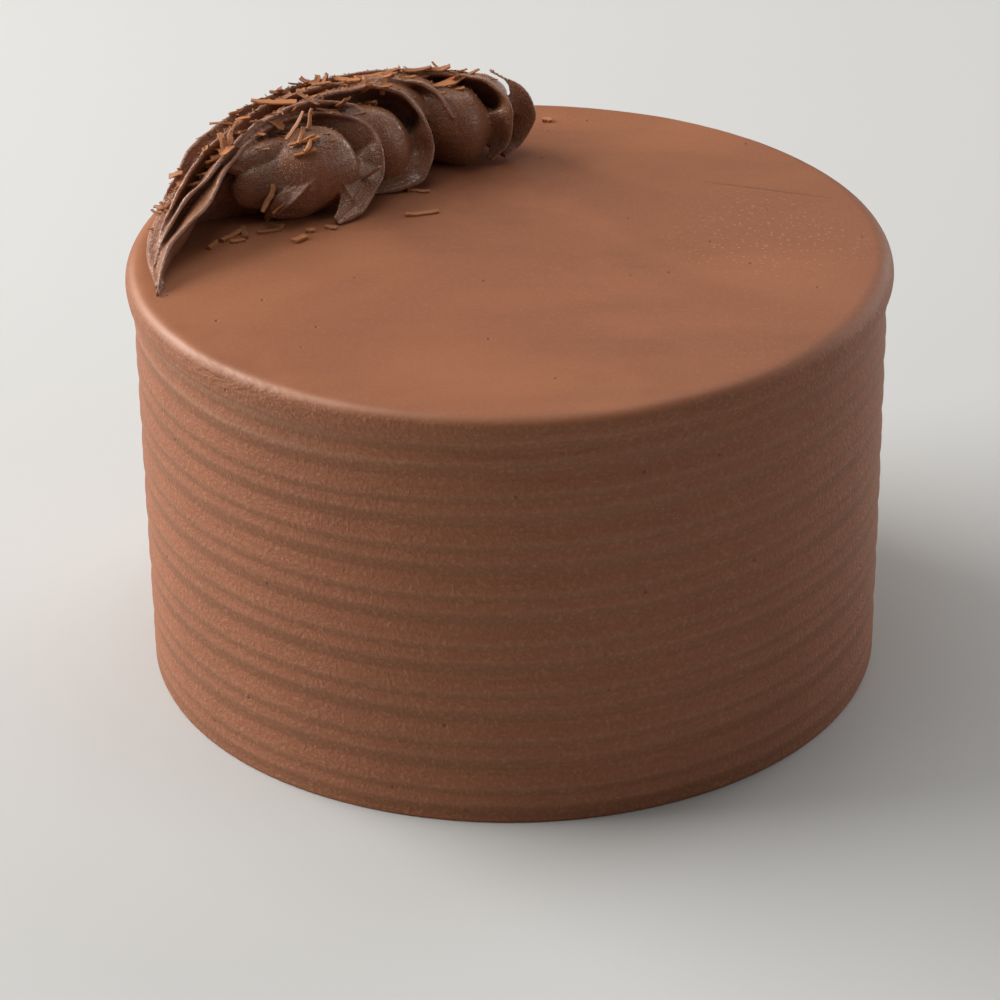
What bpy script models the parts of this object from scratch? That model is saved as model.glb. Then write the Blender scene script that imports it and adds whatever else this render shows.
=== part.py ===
"""Chocolate layer cake with combed sides and a piped garland on its top edge.

Metres, +Z up. The origin is the centre of the flat base, -Y is the front.
An azimuth is an angle round the cake's axis: 0 at the front, 90 at the left (-X), 180 at the back.
"""

import math
import random

import bmesh
import bpy
from mathutils import Matrix, Vector
from mathutils.bvhtree import BVHTree

MM = 0.001
WELD = 0.02 * MM

# Driving dimensions of the iced cake
BODY_RADIUS = 100.0 * MM
LIP_RADIUS = 101.5 * MM
CAKE_HEIGHT = 117.0 * MM
EDGE_ROUNDING = 5.5 * MM
BASE_TAPER = 0.4 * MM
BASE_CHAMFER = 0.8 * MM
CAKE_SIDES = 56

# Combed grooves: a deep groove, a wide flank, a pair of crests with a shallow groove between them
COMB_PITCH = 14.15 * MM
FIRST_GROOVE_BELOW_TOP = 2.7 * MM
COMB_WIDE_RISE = 5.0 / 14.0
COMB_SHALLOW_GROOVE = 7.2 / 14.0
COMB_SECOND_CREST = 10.0 / 14.0
COMB_DEPTH = 0.85 * MM
SHALLOW_DEPTH = 0.40 * MM
RING_TILT = 1.3 * MM
RING_DIP = 2.6 * MM
RING_DIP_AZIMUTH = math.radians(40)
RING_DIP_SPREAD = 0.5
RING_DIP_START = 70.0 * MM
RING_DIP_RISE = 30.0 * MM
RING_FADE_BASE = 20.0 * MM
RING_FADE_TOP = 14.0 * MM
LIP_START = 1.6
LIP_STEPS = 6
TOP_RINGS = (0.85, 0.6, 0.3)

# The garland: a core that grows from a dragged tail tip to full size and ends in a hook
GAP = 0.3 * MM
TAIL_AZIMUTH = 75.0
FULL_AZIMUTH = 118.0
END_AZIMUTH = 178.0
TAIL_RADIUS = 93.5 * MM
CORE_RADIUS = 70.0 * MM
END_RADIUS = 67.5 * MM
TAIL_WIDTH = 2.6 * MM
CORE_WIDTH = 29.0 * MM
END_WIDTH = 18.0 * MM
TAIL_HEIGHT = 1.6 * MM
CORE_HEIGHT = 20.0 * MM
END_HEIGHT = 15.0 * MM
ENDING_AZIMUTH = 150.0
RADIUS_EASE = 2.2
SIZE_EASE = 1.4
CORE_MIDDLE = 0.45
CORE_END_SIZE = 0.08
CORE_END_GROWTH = 8.0
CORE_STEPS = 26
CORE_SIDES = 12

# Thin fins that the star nozzle drew along the rope
FIN_STEPS = 27
FIN_HEIGHT = 11.0 * MM
FIN_BASE = 13.0 * MM
FIN_EDGE = 0.9 * MM
FIN_ROOT = 0.45
FIN_RIM_SHIFT = -0.03
FIN_AIM = 0.35
NARROW_EDGE = 0.3
HOOK_REACH = 7.0
HOOK_SCALE = 1.15
HOOK_TIP = 0.16
HOOK_TAPER = (0.45, 1.0)
BACK_SCALE = 0.55
BACK_NIB = 0.05
BACK_NIB_END = 0.2
BACK_TAPER = (0.75, 1.0)
NIB_SCALE = 0.35
NIB_END = 0.16
TAIL_SCALE = 0.40
TAIL_SHARES = (0.42, 0.67)
TAIL_KEEP = 0.35
TIP_SCALE = 0.22
TIP_SHARES = (0.86, 1.0)

# Each fin's rim as azimuth, radius in mm and height in mm above the cake, from its nib over the
# top to the tail; the hook's ends in the air
FIN_ROUTES = {
    "front": (
        (100, 57.0, 0.3), (109, 48.0, 0.8), (119, 43.5, 1.8), (131, 44.5, 8.5), (134, 51.0, 20.0),
        (126, 61.0, 26.5), (114, 69.5, 24.5), (102, 74.5, 19.0), (90, 79.0, 12.5), (82, 88.5, 7.5),
        (72, 95.5, 0.8),
    ),
    "second": (
        (132, 50.0, 0.4), (141, 45.5, 0.8), (149, 44.5, 2.5), (154, 46.5, 9.0), (153, 49.5, 18.0),
        (145, 57.0, 26.0), (133, 61.5, 27.0), (121, 66.0, 26.5), (110, 73.5, 23.5), (98, 78.5, 17.5),
        (90, 87.0, 10.5), (80, 94.6, 1.5),
    ),
    "third": (
        (163, 50.0, 16.0), (159, 55.5, 23.0), (150, 61.0, 26.0), (141, 65.0, 26.5), (127, 71.5, 26.0),
        (112, 78.0, 23.5), (101, 84.5, 17.5), (86, 93.5, 2.0),
    ),
    "fourth": (
        (175, 53.0, 0.8), (180, 54.0, 6.0), (181, 55.0, 16.0), (175, 59.0, 22.5), (162, 64.0, 24.5),
        (146, 71.0, 25.5), (130, 77.0, 25.0), (115, 84.5, 21.5), (106, 90.0, 15.5), (93, 94.5, 2.5),
    ),
    "hook": (
        (179, 56.0, 0.8), (184, 59.5, 4.0), (187, 61.0, 11.0), (185, 61.5, 18.0), (180, 63.5, 21.5),
        (176, 66.5, 23.5),
    ),
    "back_high": (
        (174, 75.0, 10.0), (165, 78.5, 15.5), (152, 81.5, 17.0), (138, 83.5, 17.0),
        (124, 87.0, 15.0), (112, 91.5, 10.0), (101, 94.8, 2.0),
    ),
    "back_low": (
        (168, 80.0, 2.0), (158, 84.5, 5.0), (146, 86.5, 6.5), (134, 88.0, 6.5), (121, 90.5, 5.0),
        (110, 93.5, 1.2),
    ),
}

# Round lobes between the fins: azimuth, radius in mm, height in mm, then three half sizes in mm:
# length along the garland, width and height
LOBES = {
    "front": (121, 60.0, 9.5, 17.0, 13.0, 12.0),
    "front_low": (114, 64.0, 6.0, 18.0, 8.5, 6.5),
    "front_high": (113, 67.5, 12.0, 16.0, 6.5, 5.0),
    "second": (143, 57.5, 10.5, 15.0, 9.5, 12.0),
    "third": (167, 60.0, 10.5, 14.0, 9.5, 11.5),
}
LOBE_SIDES = 12
LOBE_RINGS = 8
LOBE_END = 0.4

# Chocolate shavings: flat curled flakes, strewn by a seeded rule on the garland
SHAVING_SEED = 11
SHAVING_COUNT = 46
SHAVING_LENGTH = (4.0 * MM, 12.5 * MM)
SHAVING_WIDTH = (1.0 * MM, 2.6 * MM)
SHAVING_THICKNESS = 0.7 * MM
SHAVING_AZIMUTHS = (98.0, 166.0)
SHAVING_BEND = 0.16
SHAVING_SPREAD = (-0.8, 1.1, 0.2)
SHAVING_LEAN = 0.5
SHAVING_LOWEST = 4.0 * MM
LOOK_DOWN_FROM = 60.0 * MM
FLAKE_NARROWING = 0.5

# Crumbs on the cake's top: x and y in mm, length and width in mm, heading in degrees
CRUMBS = (
    (-23.4, 21.0, 9.0, 1.7, 12.0),
    (-24.5, 36.0, 6.0, 1.5, -8.0),
    (-64.0, 10.5, 6.5, 1.6, 20.0),
    (-61.0, 12.5, 3.0, 1.4, 80.0),
    (-55.5, 5.0, 4.6, 2.2, 50.0),
    (-53.0, 10.5, 2.6, 1.8, 10.0),
    (-47.5, 12.5, 3.2, 1.8, -15.0),
    (11.0, 84.7, 2.6, 1.8, 0.0),
    (-74.0, 7.5, 8.0, 1.8, 55.0),
    (-70.5, 9.5, 7.0, 1.5, 100.0),
    (-72.0, 4.5, 4.0, 1.6, 10.0),
    (-78.5, 2.0, 5.0, 1.5, 70.0),
)
CRUMB_THICKNESS = 1.1 * MM
CRUMB_LIFT = 0.25
CRUMB_BEND = 0.02
CLEARANCE = 0.45 * MM


def smooth(value):
    """Ease from 0 to 1."""
    value = min(max(value, 0.0), 1.0)
    return value * value * (3.0 - 2.0 * value)


def mix(low, high, share):
    return low + (high - low) * share


def eased(value, span):
    """Ease from 0 at the start of a span to 1 at its end."""
    return smooth((value - span[0]) / (span[1] - span[0]))


def make_material(name, colour, roughness):
    material = bpy.data.materials.new(name)
    material.use_nodes = True
    shader = material.node_tree.nodes["Principled BSDF"]
    shader.inputs["Base Color"].default_value = (*colour, 1.0)
    shader.inputs["Roughness"].default_value = roughness
    shader.inputs["Metallic"].default_value = 0.0
    return material


def add_object(name, mesh_data, material=None):
    item = bpy.data.objects.new(name, mesh_data)
    bpy.context.scene.collection.objects.link(item)
    if material:
        mesh_data.materials.append(material)
    return item


def closed_loft(name, rows):
    """Mesh of rings of points, closed round each ring and capped at both ends."""
    shape = bmesh.new()
    rings = [[shape.verts.new(point) for point in row] for row in rows]
    for low, high in zip(rings, rings[1:]):
        count = len(low)
        for index in range(count):
            after = (index + 1) % count
            shape.faces.new((low[index], low[after], high[after], high[index]))
    shape.faces.new(rings[0])
    shape.faces.new(rings[-1])
    bmesh.ops.recalc_face_normals(shape, faces=shape.faces)
    bmesh.ops.triangulate(shape, faces=[face for face in shape.faces if len(face.verts) > 3])
    mesh_data = bpy.data.meshes.new(name)
    shape.to_mesh(mesh_data)
    shape.free()
    return mesh_data


def unite(name, pieces, material):
    """Join closed pieces into one body with a Boolean union on a collection."""
    base, rest = pieces[0], pieces[1:]
    group = bpy.data.collections.new(name + "_pieces")
    bpy.context.scene.collection.children.link(group)
    for piece in rest:
        bpy.context.scene.collection.objects.unlink(piece)
        group.objects.link(piece)
    union = base.modifiers.new("union", "BOOLEAN")
    union.operation = "UNION"
    union.operand_type = "COLLECTION"
    union.collection = group
    union.solver = "MANIFOLD"
    evaluated = base.evaluated_get(bpy.context.evaluated_depsgraph_get())
    joined = bpy.data.meshes.new_from_object(evaluated)
    for piece in list(group.objects) + [base]:
        bpy.data.objects.remove(piece)
    bpy.data.collections.remove(group)
    joined.materials.clear()
    keep_largest_body(joined)
    return add_object(name, joined, material)


def keep_largest_body(mesh_data):
    """Drop loose scraps and sealed hollows, and weld points that all but touch."""
    shape = bmesh.new()
    shape.from_mesh(mesh_data)
    bmesh.ops.triangulate(shape, faces=shape.faces)
    bmesh.ops.dissolve_degenerate(shape, dist=WELD, edges=shape.edges)
    bmesh.ops.triangulate(shape, faces=shape.faces)
    unseen = set(shape.faces)
    bodies = []
    while unseen:
        front = [unseen.pop()]
        body = list(front)
        while front:
            face = front.pop()
            for edge in face.edges:
                for other in edge.link_faces:
                    if other in unseen:
                        unseen.remove(other)
                        front.append(other)
                        body.append(other)
        bodies.append(body)
    bodies.sort(key=len)
    scraps = [face for body in bodies[:-1] for face in body]
    bmesh.ops.delete(shape, geom=scraps, context="FACES")
    shape.to_mesh(mesh_data)
    shape.free()


# The iced cake

def comb_relief(height):
    """Depth of the comb's grooves below the crests at a height on the side."""
    down = (CAKE_HEIGHT - FIRST_GROOVE_BELOW_TOP - height) / COMB_PITCH
    phase = down - math.floor(down)
    corners = (
        (0.0, COMB_DEPTH),
        (COMB_WIDE_RISE, 0.0),
        (COMB_SHALLOW_GROOVE, SHALLOW_DEPTH),
        (COMB_SECOND_CREST, 0.0),
        (1.0, COMB_DEPTH),
    )
    for (start, first), (end, last) in zip(corners, corners[1:]):
        if phase <= end:
            return mix(first, last, (phase - start) / (end - start))
    return COMB_DEPTH


def side_heights():
    """Heights of the comb's grooves and crests from the base up to the lip."""
    heights = []
    turn = 0
    lowest = 2.0 * BASE_CHAMFER
    lip_start = CAKE_HEIGHT - LIP_START * EDGE_ROUNDING
    while True:
        groove = CAKE_HEIGHT - FIRST_GROOVE_BELOW_TOP - turn * COMB_PITCH
        if groove < lowest:
            break
        for share in (0.0, COMB_WIDE_RISE, COMB_SHALLOW_GROOVE, COMB_SECOND_CREST):
            height = groove - share * COMB_PITCH
            if lowest < height < lip_start:
                heights.append(height)
        turn += 1
    return sorted(heights)


def cake_profile():
    """Radius and height pairs up the side, over the lip and in over the top."""
    profile = [(BODY_RADIUS - BASE_TAPER - BASE_CHAMFER, 0.0)]
    profile.append((BODY_RADIUS - BASE_TAPER, BASE_CHAMFER))
    for height in side_heights():
        taper = BASE_TAPER * (1.0 - height / CAKE_HEIGHT)
        profile.append((BODY_RADIUS - taper - comb_relief(height), height))
    centre_height = CAKE_HEIGHT - EDGE_ROUNDING
    for step in range(-2, LIP_STEPS + 1):
        angle = math.radians(90.0 * step / LIP_STEPS)
        radius = LIP_RADIUS - EDGE_ROUNDING + EDGE_ROUNDING * math.cos(angle)
        profile.append((radius, centre_height + EDGE_ROUNDING * math.sin(angle)))
    for share in TOP_RINGS:
        profile.append(((LIP_RADIUS - EDGE_ROUNDING) * share, CAKE_HEIGHT))
    return profile


def ring_shift(azimuth, height):
    """How far the comb's rings climb to the right and dip at the front left."""
    inside = smooth(height / RING_FADE_BASE) * smooth((CAKE_HEIGHT - height) / RING_FADE_TOP)
    climb = RING_TILT * math.sin(azimuth)
    near_top = smooth((height - RING_DIP_START) / RING_DIP_RISE)
    dip = RING_DIP * near_top * math.exp(-((azimuth + RING_DIP_AZIMUTH) / RING_DIP_SPREAD) ** 2)
    return inside * (climb - dip)


def cake_rows():
    rows = []
    for radius, height in cake_profile():
        row = []
        for index in range(CAKE_SIDES):
            azimuth = 2.0 * math.pi * (index / CAKE_SIDES - 0.5)
            level = height + ring_shift(azimuth, height)
            row.append(Vector((radius * math.sin(azimuth), -radius * math.cos(azimuth), level)))
        rows.append(row)
    return rows


# The piped garland

def placed(azimuth, radius, height):
    """Point at an azimuth in degrees, a radius and a height above the garland's bed."""
    around = math.radians(azimuth)
    return Vector((-radius * math.sin(around), -radius * math.cos(around), CAKE_HEIGHT + GAP + height))


def core_size(azimuth):
    """Radius of the core's middle, its half width and its height at an azimuth."""
    growth = smooth((azimuth - TAIL_AZIMUTH + 1.0) / (FULL_AZIMUTH - TAIL_AZIMUTH))
    ending = smooth((azimuth - ENDING_AZIMUTH) / (END_AZIMUTH - ENDING_AZIMUTH))
    radius = mix(mix(TAIL_RADIUS, CORE_RADIUS, growth ** RADIUS_EASE), END_RADIUS, ending)
    width = mix(mix(TAIL_WIDTH, CORE_WIDTH, growth ** SIZE_EASE), END_WIDTH, ending)
    height = mix(mix(TAIL_HEIGHT, CORE_HEIGHT, growth ** SIZE_EASE), END_HEIGHT, ending)
    return radius, width / 2.0, height


def core_rows():
    rows = []
    for step in range(CORE_STEPS + 1):
        share = step / CORE_STEPS
        azimuth = mix(TAIL_AZIMUTH, END_AZIMUTH, share)
        radius, half_width, height = core_size(azimuth)
        shrink = math.sqrt(min(1.0, CORE_END_SIZE + (1.0 - share) * CORE_END_GROWTH))
        row = []
        for index in range(CORE_SIDES):
            turn = 2.0 * math.pi * index / CORE_SIDES
            level = height * max(0.0, CORE_MIDDLE + (1.0 - CORE_MIDDLE) * shrink * math.sin(turn))
            row.append(placed(azimuth, radius - shrink * half_width * math.cos(turn), level))
        rows.append(row)
    return rows


def lobe_rows(azimuth, radius, height, half_length, half_width, half_height):
    """Rings of an egg that lies along the garland and is cut flat where it meets the bed."""
    rows = []
    for ring in range(LOBE_RINGS):
        around = math.pi * (ring + LOBE_END) / (LOBE_RINGS - 1 + 2 * LOBE_END)
        slide = math.cos(around)
        girth = math.sin(around)
        turned = azimuth + math.degrees(half_length * slide / (radius * MM))
        row = []
        for index in range(LOBE_SIDES):
            turn = 2.0 * math.pi * index / LOBE_SIDES
            out = radius * MM + half_width * girth * math.cos(turn)
            level = max(0.0, height * MM + half_height * girth * math.sin(turn))
            row.append(placed(turned, out, level))
        rows.append(row)
    return rows


def spline(knots, share):
    """Catmull-Rom value through evenly spread knots."""
    spans = len(knots) - 1
    place = min(max(share, 0.0), 1.0) * spans
    index = min(int(place), spans - 1)
    t = place - index
    before = knots[max(index - 1, 0)]
    start, end = knots[index], knots[index + 1]
    after = knots[min(index + 2, spans)]
    return tuple(
        0.5 * (2 * s + (e - b) * t + (2 * b - 5 * s + 4 * e - a) * t * t + (3 * s - b - 3 * e + a) * t ** 3)
        for b, s, e, a in zip(before, start, end, after)
    )


def fin_section(height, base, edge):
    """Across and outward places of a fin's section: hollow inside, thin rim, steep back."""
    return (
        (-0.66 * base, -FIN_ROOT * height),
        (-0.52 * base, 0.10 * height),
        (-0.34 * base, 0.30 * height),
        (-0.16 * base, 0.62 * height),
        (FIN_RIM_SHIFT * base - 0.5 * edge, 0.96 * height),
        (FIN_RIM_SHIFT * base + 0.5 * edge, 1.00 * height),
        (0.07 * base, 0.66 * height),
        (0.13 * base, 0.22 * height),
        (0.17 * base, -FIN_ROOT * height),
    )


def fin_size(name, share):
    """Height and base of a fin's section at a share of its route from nib to tail."""
    if name == "hook":
        size = mix(1.0, HOOK_TIP, eased(share, HOOK_TAPER))
        return FIN_HEIGHT * size * HOOK_SCALE, FIN_BASE * size
    if name.startswith("back"):
        size = BACK_SCALE * smooth(share / BACK_NIB_END) + BACK_NIB
        tip = mix(1.0, TIP_SCALE, eased(share, BACK_TAPER))
        return FIN_HEIGHT * size * tip, FIN_BASE * size * tip
    nib = mix(NIB_SCALE, 1.0, smooth(share / NIB_END))
    tail = mix(1.0, TAIL_SCALE, eased(share, TAIL_SHARES))
    tip = mix(1.0, TIP_SCALE, eased(share, TIP_SHARES))
    return FIN_HEIGHT * nib * mix(tail, 1.0, TAIL_KEEP) * tip, FIN_BASE * nib * tail * tip


def fin_rows(name, route):
    """Rings of a fin's cross-section along its route."""
    rims = []
    for step in range(FIN_STEPS + 1):
        azimuth, radius, height = spline(route, step / FIN_STEPS)
        rims.append((azimuth, placed(azimuth, radius * MM, height * MM)))
    rows = []
    for step, (azimuth, rim) in enumerate(rims):
        along = (rims[min(step + 1, FIN_STEPS)][1] - rims[max(step - 1, 0)][1]).normalized()
        inside = min(max(azimuth, TAIL_AZIMUTH), END_AZIMUTH - HOOK_REACH)
        middle, _, core_height = core_size(inside)
        outward = rim - placed(inside, middle, FIN_AIM * core_height)
        outward = (outward - along * outward.dot(along)).normalized()
        across = outward.cross(along)
        height, base = fin_size(name, step / FIN_STEPS)
        row = []
        for side, up in fin_section(height, base, min(FIN_EDGE, NARROW_EDGE * base)):
            point = rim + across * side + outward * (up - height)
            point.z = max(point.z, CAKE_HEIGHT + GAP)
            row.append(point)
        rows.append(row)
    return rows


# Shavings and crumbs

def flake_rows(place, length, width, thickness, bend):
    """Rings of a flake that is bent along its length, set by a matrix."""
    rows = []
    for share in (-0.5, 0.0, 0.5):
        lift = bend * length * (4.0 * share * share)
        half = 0.5 * width * (1.0 - FLAKE_NARROWING * abs(share))
        corners = ((-half, -0.5), (half, -0.5), (half, 0.5), (-half, 0.5))
        rows.append([place @ Vector((share * length, y, lift + z * thickness)) for y, z in corners])
    return rows


def surface_tree(item):
    return BVHTree.FromPolygons([v.co for v in item.data.vertices], [p.vertices for p in item.data.polygons])


def flake_place(spot, normal, heading):
    """Matrix that lays a flake on a surface with a heading about its normal."""
    upright = normal.to_track_quat("Z", "Y").to_matrix().to_4x4()
    return Matrix.Translation(spot) @ upright @ Matrix.Rotation(heading, 4, "Z")


def shavings_on(garland):
    """Flakes strewn over the garland's top and tail, each sunk a little in what it lies on."""
    draw = random.Random(SHAVING_SEED)
    tree = surface_tree(garland)
    flakes = []
    while len(flakes) < SHAVING_COUNT:
        azimuth = draw.uniform(*SHAVING_AZIMUTHS)
        radius, half_width, _ = core_size(azimuth)
        out = radius + half_width * draw.triangular(*SHAVING_SPREAD)
        heading = draw.uniform(0.0, math.pi)
        length = draw.triangular(*SHAVING_LENGTH, SHAVING_LENGTH[0])
        width = draw.uniform(*SHAVING_WIDTH)
        bend = draw.uniform(-SHAVING_BEND, SHAVING_BEND)
        sway = draw.uniform(-SHAVING_LEAN, SHAVING_LEAN)
        lean = Vector((sway, draw.uniform(-SHAVING_LEAN, SHAVING_LEAN), 1.0))
        above = placed(azimuth, out, LOOK_DOWN_FROM)
        spot, normal, _, _ = tree.ray_cast(above, Vector((0, 0, -1)))
        if spot is None or spot.z < CAKE_HEIGHT + SHAVING_LOWEST:
            continue
        place = flake_place(spot, (normal + lean).normalized(), heading)
        rows = flake_rows(place, length, width, SHAVING_THICKNESS, bend)
        name = f"shaving_{len(flakes)}"
        flakes.append(add_object(name, closed_loft(name, rows)))
    return flakes


def crumbs_beside(garland):
    """Flakes that lie on the cake's top, clear of the garland."""
    tree = surface_tree(garland)
    flakes = []
    for number, (x, y, length, width, heading) in enumerate(CRUMBS):
        spot = Vector((x * MM, y * MM, CAKE_HEIGHT + CRUMB_LIFT * CRUMB_THICKNESS))
        place = flake_place(spot, Vector((0, 0, 1)), math.radians(heading))
        rows = flake_rows(place, length * MM, width * MM, CRUMB_THICKNESS, CRUMB_BEND)
        under = tree.ray_cast(spot, Vector((0, 0, 1)))[0] is not None
        nearest = min(tree.find_nearest(point)[3] for row in rows for point in row)
        if under or nearest < CLEARANCE:
            continue
        name = f"crumb_{number}"
        flakes.append(add_object(name, closed_loft(name, rows)))
    return flakes


def build_cake(material, garland):
    body = add_object("cake_body", closed_loft("cake_body", cake_rows()))
    return unite("cake", [body] + crumbs_beside(garland), material)


def build_garland(material):
    pieces = [add_object("core", closed_loft("core", core_rows()))]
    for name, (azimuth, radius, height, *halves) in LOBES.items():
        rows = lobe_rows(azimuth, radius, height, *(half * MM for half in halves))
        pieces.append(add_object("lobe_" + name, closed_loft("lobe_" + name, rows)))
    for name, route in FIN_ROUTES.items():
        pieces.append(add_object("fin_" + name, closed_loft("fin_" + name, fin_rows(name, route))))
    rope = unite("rope", pieces, material)
    return unite("piped_garland", [rope] + shavings_on(rope), material)


def main():
    for item in list(bpy.data.objects):
        bpy.data.objects.remove(item)
    icing = make_material("chocolate_icing", (0.26, 0.105, 0.060), 0.55)
    piping = make_material("dark_piping", (0.095, 0.038, 0.024), 0.42)
    garland = build_garland(piping)
    cake = build_cake(icing, garland)
    for item in (cake, garland):
        item.data.shade_smooth()
        item.data.set_sharp_from_angle(angle=math.radians(50))


main()
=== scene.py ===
import math
import random

import bmesh
import bpy
from bpy.props import FloatProperty, FloatVectorProperty, IntProperty, PointerProperty
from mathutils import Matrix, Vector, noise
from mathutils.bvhtree import BVHTree


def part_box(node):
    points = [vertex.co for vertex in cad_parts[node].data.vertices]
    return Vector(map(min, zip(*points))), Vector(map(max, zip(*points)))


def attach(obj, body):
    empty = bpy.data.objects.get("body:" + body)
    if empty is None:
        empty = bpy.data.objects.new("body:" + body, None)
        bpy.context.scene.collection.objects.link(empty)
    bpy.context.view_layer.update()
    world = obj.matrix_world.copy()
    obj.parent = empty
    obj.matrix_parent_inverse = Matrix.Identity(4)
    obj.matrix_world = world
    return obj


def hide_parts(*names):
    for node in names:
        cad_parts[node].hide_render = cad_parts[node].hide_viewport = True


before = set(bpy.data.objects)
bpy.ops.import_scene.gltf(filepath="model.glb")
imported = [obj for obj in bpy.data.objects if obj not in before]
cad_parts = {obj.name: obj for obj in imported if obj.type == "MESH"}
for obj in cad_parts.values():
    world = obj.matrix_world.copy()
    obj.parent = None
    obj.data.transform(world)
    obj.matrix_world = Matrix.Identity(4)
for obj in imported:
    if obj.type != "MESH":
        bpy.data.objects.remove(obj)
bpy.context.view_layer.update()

bl_info = {
    "name": "Chocolate layer cake",
    "version": (1, 0, 0),
    "blender": (4, 5, 0),
    "location": "3D View > Sidebar > Cake",
    "description": "Ices a layer cake, combs its side, pipes its garland and strews its shavings",
    "category": "Add Mesh",
}

MM = 0.001
CAKE_LOW, CAKE_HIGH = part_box("cake")
GARLAND_LOW, GARLAND_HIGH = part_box("piped_garland")

# Sizes that the frame gives: the garland stands a gap above the cake's top
GAP = 0.3 * MM
CAKE_TOP = GARLAND_LOW[2] - GAP
LIP_RADIUS = 0.5 * (CAKE_HIGH[0] - CAKE_LOW[0])
SIDE_INSET = 1.5 * MM
FLAT_RADIUS = LIP_RADIUS - 5.5 * MM


def smooth(value):
    """Ease from 0 to 1."""
    value = min(max(value, 0.0), 1.0)
    return value * value * (3.0 - 2.0 * value)


def mix(low, high, share):
    return low + (high - low) * share


def wander(x, y, z, scale, seed):
    """Soft noise from -1 to 1 that changes over a distance of about scale."""
    return noise.noise(Vector((x, y, z)) / scale + Vector((seed, 3.1 * seed, -seed)))


def bell(value, middle, spread, power=2):
    """1 at the middle, falling to 0 over the spread, with flatter tops for higher powers."""
    return math.exp(-((value - middle) / spread) ** power)


# Settings

def colour_setting(name, description, default):
    return FloatVectorProperty(name=name, description=description, subtype="COLOR", size=3, default=default)


def length_setting(name, description, default):
    return FloatProperty(name=name, description=description, default=default, unit="LENGTH")


class CakeIcingSettings(bpy.types.PropertyGroup):
    comb_pitch: length_setting("Comb pitch", "Height of one pair of combed ridges", 14.15 * MM)
    comb_depth: length_setting("Comb depth", "Depth of the deep grooves below the ridges", 0.95 * MM)
    ring_tilt: length_setting("Ring tilt", "How far the combed rings climb from left to right", 1.3 * MM)
    rim_rounding: length_setting("Rim rounding", "Radius of the rounded top edge", 5.5 * MM)
    sides: IntProperty(name="Sides", description="Steps round the cake", default=460)
    colour: colour_setting("Icing colour", "Milk chocolate buttercream", (0.285, 0.103, 0.049))
    warm_colour: colour_setting("Warm patches", "Lighter, warmer patches on the top", (0.350, 0.132, 0.060))
    # Painted shade: the comb's down-facing slopes are drawn greyer and darker in place of the shade they get.
    painted_slope_shade_colour: colour_setting(
        "Groove shade", "Greyer icing where the comb's slopes face down", (0.185, 0.080, 0.034),
    )
    # Painted highlight: the comb's thin crests are drawn paler, most on the lit left.
    crest_highlight_colour: colour_setting(
        "Crest colour", "Paler icing on the comb's thin crests", (0.42, 0.235, 0.150),
    )
    # Painted highlight: the crisp edge of the rim at the front left is drawn paler and pinker.
    edge_highlight_colour: colour_setting(
        "Rim edge colour", "Paler icing on the crisp edge of the rim", (0.62, 0.36, 0.255),
    )
    grain_colour: colour_setting("Grains", "Pale grains in the icing", (0.52, 0.27, 0.15))


class CakePipingSettings(bpy.types.PropertyGroup):
    fin_height: length_setting("Fin height", "Depth of the piped fins from rim to root", 11.0 * MM)
    fin_base: length_setting("Fin base", "Width of a fin at its root", 13.0 * MM)
    fin_edge: length_setting("Fin edge", "Thickness of a fin's rim", 1.1 * MM)
    grid: length_setting("Grid", "Voxel size that melts the piped strands together", 0.38 * MM)
    colour: colour_setting("Piping colour", "Dark chocolate buttercream", (0.290, 0.112, 0.048))
    # Painted highlights on thin rims and in pale speckles, and real pale patches and scuffs.
    highlight_and_pale_patch_colour: colour_setting("Rim colour", "Paler chocolate on thin rims and scuffs", (0.42, 0.205, 0.135))


class CakeShavingSettings(bpy.types.PropertyGroup):
    count: IntProperty(name="Shavings", description="Flakes strewn on the garland", default=140)
    seed: IntProperty(name="Seed", description="Seed of the strewing rule", default=11)
    thickness: length_setting("Thickness", "Thickness of a flake", 0.5 * MM)
    dust_count: IntProperty(name="Dust", description="Tiny flakes between the shavings", default=950)
    colour: colour_setting("Shaving colour", "Shaved milk chocolate", (0.47, 0.185, 0.068))
    dark_colour: colour_setting("Dark shaving colour", "Shaved dark chocolate", (0.150, 0.056, 0.030))


# Shader maths

class Wire:
    """One socket of a node tree; arithmetic on it adds Math nodes."""

    def __init__(self, tree, socket):
        self.tree = tree
        self.socket = socket

    def maths(self, operation, *others, clamp=False):
        step = self.tree.nodes.new("ShaderNodeMath")
        step.operation = operation
        step.use_clamp = clamp
        for place, value in zip(step.inputs, (self, *others)):
            plug(self.tree, value, place)
        return Wire(self.tree, step.outputs[0])

    def __add__(self, other):
        return self.maths("ADD", other)

    def __radd__(self, other):
        return self.maths("ADD", other)

    def __mul__(self, other):
        return self.maths("MULTIPLY", other)

    def __rmul__(self, other):
        return self.maths("MULTIPLY", other)

    def __sub__(self, other):
        return self.maths("SUBTRACT", other)

    def __rsub__(self, other):
        return (self * -1.0) + other

    def __truediv__(self, other):
        return self.maths("DIVIDE", other)

    def ramp(self, low, high):
        """0 below low, 1 above high, eased between them."""
        share = ((self - low) / (high - low)).maths("ADD", 0.0, clamp=True)
        return share * share * (3.0 - 2.0 * share)


def plug(tree, value, place):
    """Link a wire into a socket, or set the socket's own value."""
    if isinstance(value, Wire):
        tree.links.new(value.socket, place)
    else:
        place.default_value = value


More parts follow.
